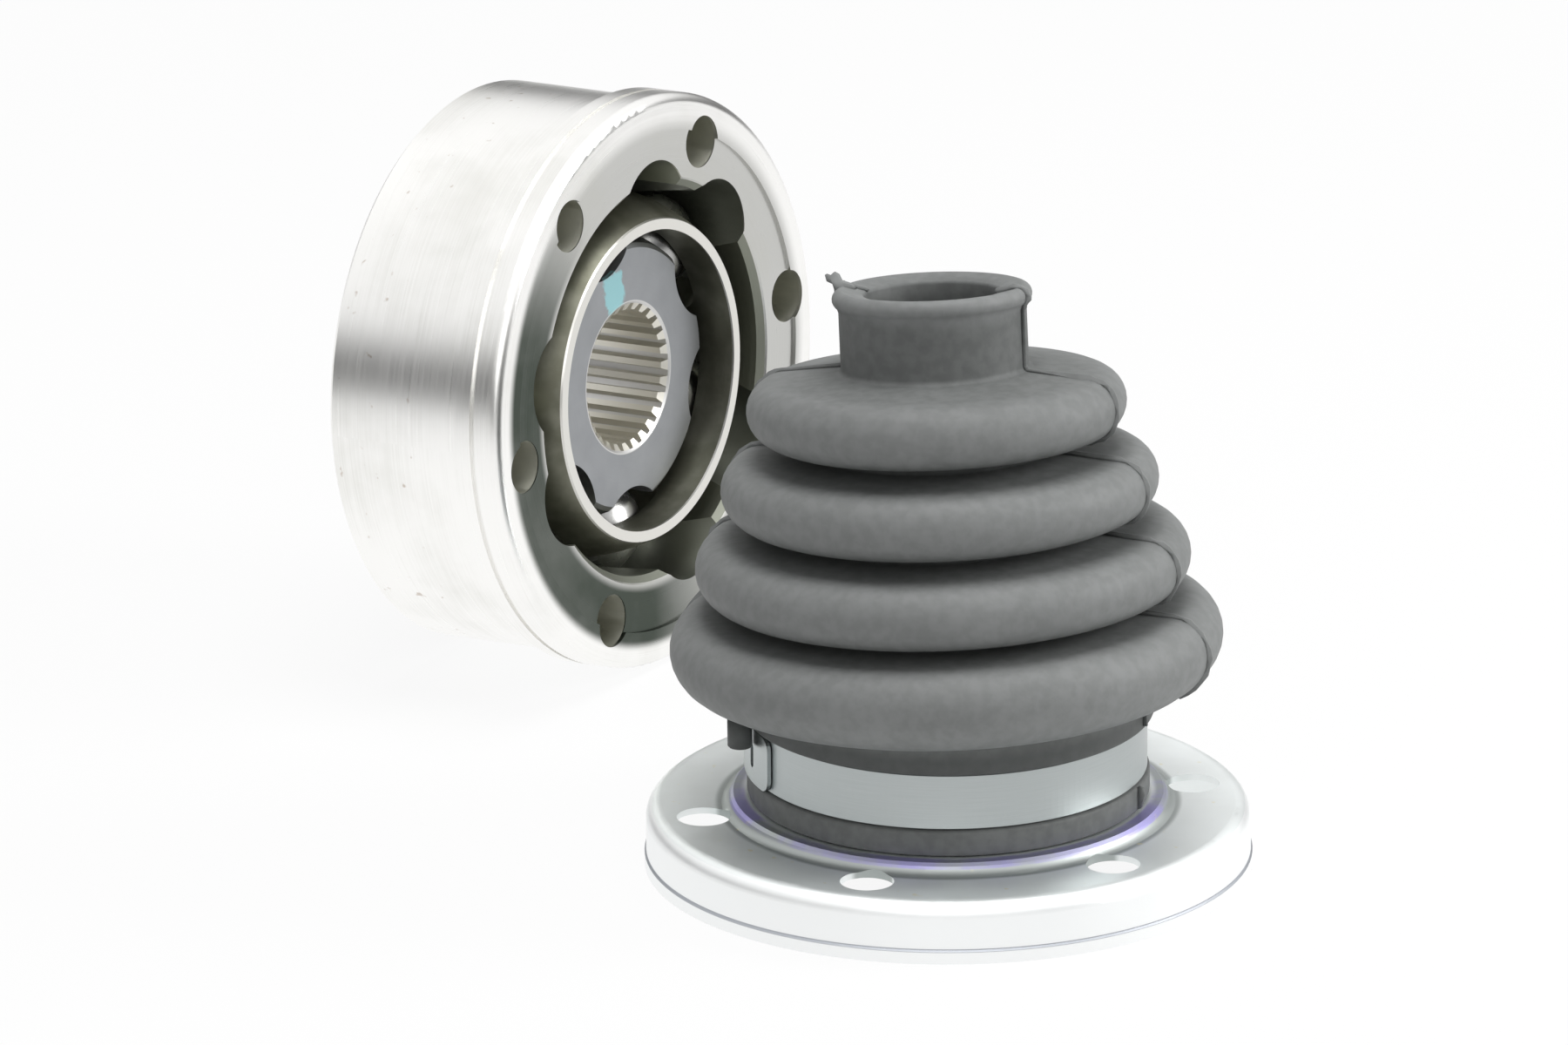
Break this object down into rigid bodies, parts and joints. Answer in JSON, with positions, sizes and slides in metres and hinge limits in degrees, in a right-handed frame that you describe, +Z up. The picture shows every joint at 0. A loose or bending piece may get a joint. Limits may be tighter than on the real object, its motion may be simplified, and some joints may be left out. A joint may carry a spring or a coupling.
{
  "type": "constant velocity joint",
  "caption": "Cross-groove plunging constant velocity joint with outer race, cage, balls and splined inner race, and its ribbed rubber boot clamped on a pressed flange cap.",
  "frame": {"origin": "on the boot's axis, at the level of the flange cap's lower edge, which is the floor", "axes": "+Z up along the boot's axis; +X is the side that the joint's open front face looks to, level, with the joint lying on its rim and its axis raised about three and a half degrees"},
  "size_m": [0.2088, 0.1799, 0.1148],
  "materials": {
    "race_steel": "turned bright steel",
    "cage_steel": "hardened, oiled, ground front ring",
    "inner_steel": "ground and oiled",
    "ball_steel": "polished bearing steel",
    "zinc_plate": "satin zinc plated pressed sheet",
    "clamp_steel": "satin stainless strip",
    "rubber": "matt moulded rubber"
  },
  "bodies": {
    "outer_race_and_boot_base": {"outer_race": "race_steel", "flange_cap": "zinc_plate", "boot_clamp": "clamp_steel", "boot_cuff": "rubber", "boot_folds_lower": "rubber"},
    "cage": {"cage": "cage_steel"},
    "inner_race": {"inner_race": "inner_steel"},
    "ball_1": {"ball_1": "ball_steel"},
    "ball_2": {"ball_2": "ball_steel"},
    "ball_3": {"ball_3": "ball_steel"},
    "ball_4": {"ball_4": "ball_steel"},
    "ball_5": {"ball_5": "ball_steel"},
    "ball_6": {"ball_6": "ball_steel"},
    "boot_middle": {"boot_mid_ring": "rubber", "boot_folds_upper": "rubber"},
    "boot_neck": {"boot_neck": "rubber"}
  },
  "joints": [
    {"name": "cage_tilt", "type": "hinge", "parent": "outer_race_and_boot_base", "child": "cage", "pos_m": [-0.12746, 0.0667, 0.0551], "axis": [-0.055, 0.4305, 0.9009], "range_deg": [-10, 10]},
    {"name": "inner_race_tilt", "type": "hinge", "parent": "cage", "child": "inner_race", "pos_m": [-0.12746, 0.0667, 0.0551], "axis": [-0.055, 0.4305, 0.9009], "range_deg": [-10, 10]},
    {"name": "ball_1_shift", "type": "slide", "parent": "cage", "child": "ball_1", "axis": [-0.0502, -0.5664, 0.8226], "range_m": [-0.00088, 0.00088]},
    {"name": "ball_2_shift", "type": "slide", "parent": "cage", "child": "ball_2", "axis": [0.0048, -0.9969, -0.0783], "range_m": [-0.00088, 0.00088]},
    {"name": "ball_3_shift", "type": "slide", "parent": "cage", "child": "ball_3", "axis": [0.055, -0.4305, -0.9009], "range_m": [-0.00176, 0.00176]},
    {"name": "ball_4_shift", "type": "slide", "parent": "cage", "child": "ball_4", "axis": [0.0502, 0.5664, -0.8226], "range_m": [-0.00088, 0.00088]},
    {"name": "ball_5_shift", "type": "slide", "parent": "cage", "child": "ball_5", "axis": [-0.0048, 0.9969, 0.0783], "range_m": [-0.00088, 0.00088]},
    {"name": "ball_6_shift", "type": "slide", "parent": "cage", "child": "ball_6", "axis": [-0.055, 0.4305, 0.9009], "range_m": [-0.00176, 0.00176]},
    {"name": "boot_bend", "type": "hinge", "parent": "outer_race_and_boot_base", "child": "boot_middle", "pos_m": [0, 0, 0.053], "axis": [0, 1, 0], "range_deg": [-15, 15], "stiffness_Nm_per_rad": 0.8, "deforming": ["boot_folds_lower"]},
    {"name": "boot_stretch", "type": "slide", "parent": "boot_middle", "child": "boot_neck", "axis": [0, 0, 1], "range_m": [-0.008, 0.006], "stiffness_N_per_m": 900, "deforming": ["boot_folds_upper"]}
  ],
  "couplings": [
    {"joint": "inner_race_tilt", "follows": "cage_tilt", "ratio": 1},
    {"joint": "ball_1_shift", "follows": "cage_tilt", "m_per_rad": -0.0049528},
    {"joint": "ball_2_shift", "follows": "cage_tilt", "m_per_rad": -0.0049528},
    {"joint": "ball_3_shift", "follows": "cage_tilt", "m_per_rad": 0.0099057},
    {"joint": "ball_4_shift", "follows": "cage_tilt", "m_per_rad": -0.0049528},
    {"joint": "ball_5_shift", "follows": "cage_tilt", "m_per_rad": -0.0049528},
    {"joint": "ball_6_shift", "follows": "cage_tilt", "m_per_rad": 0.0099057}
  ]
}
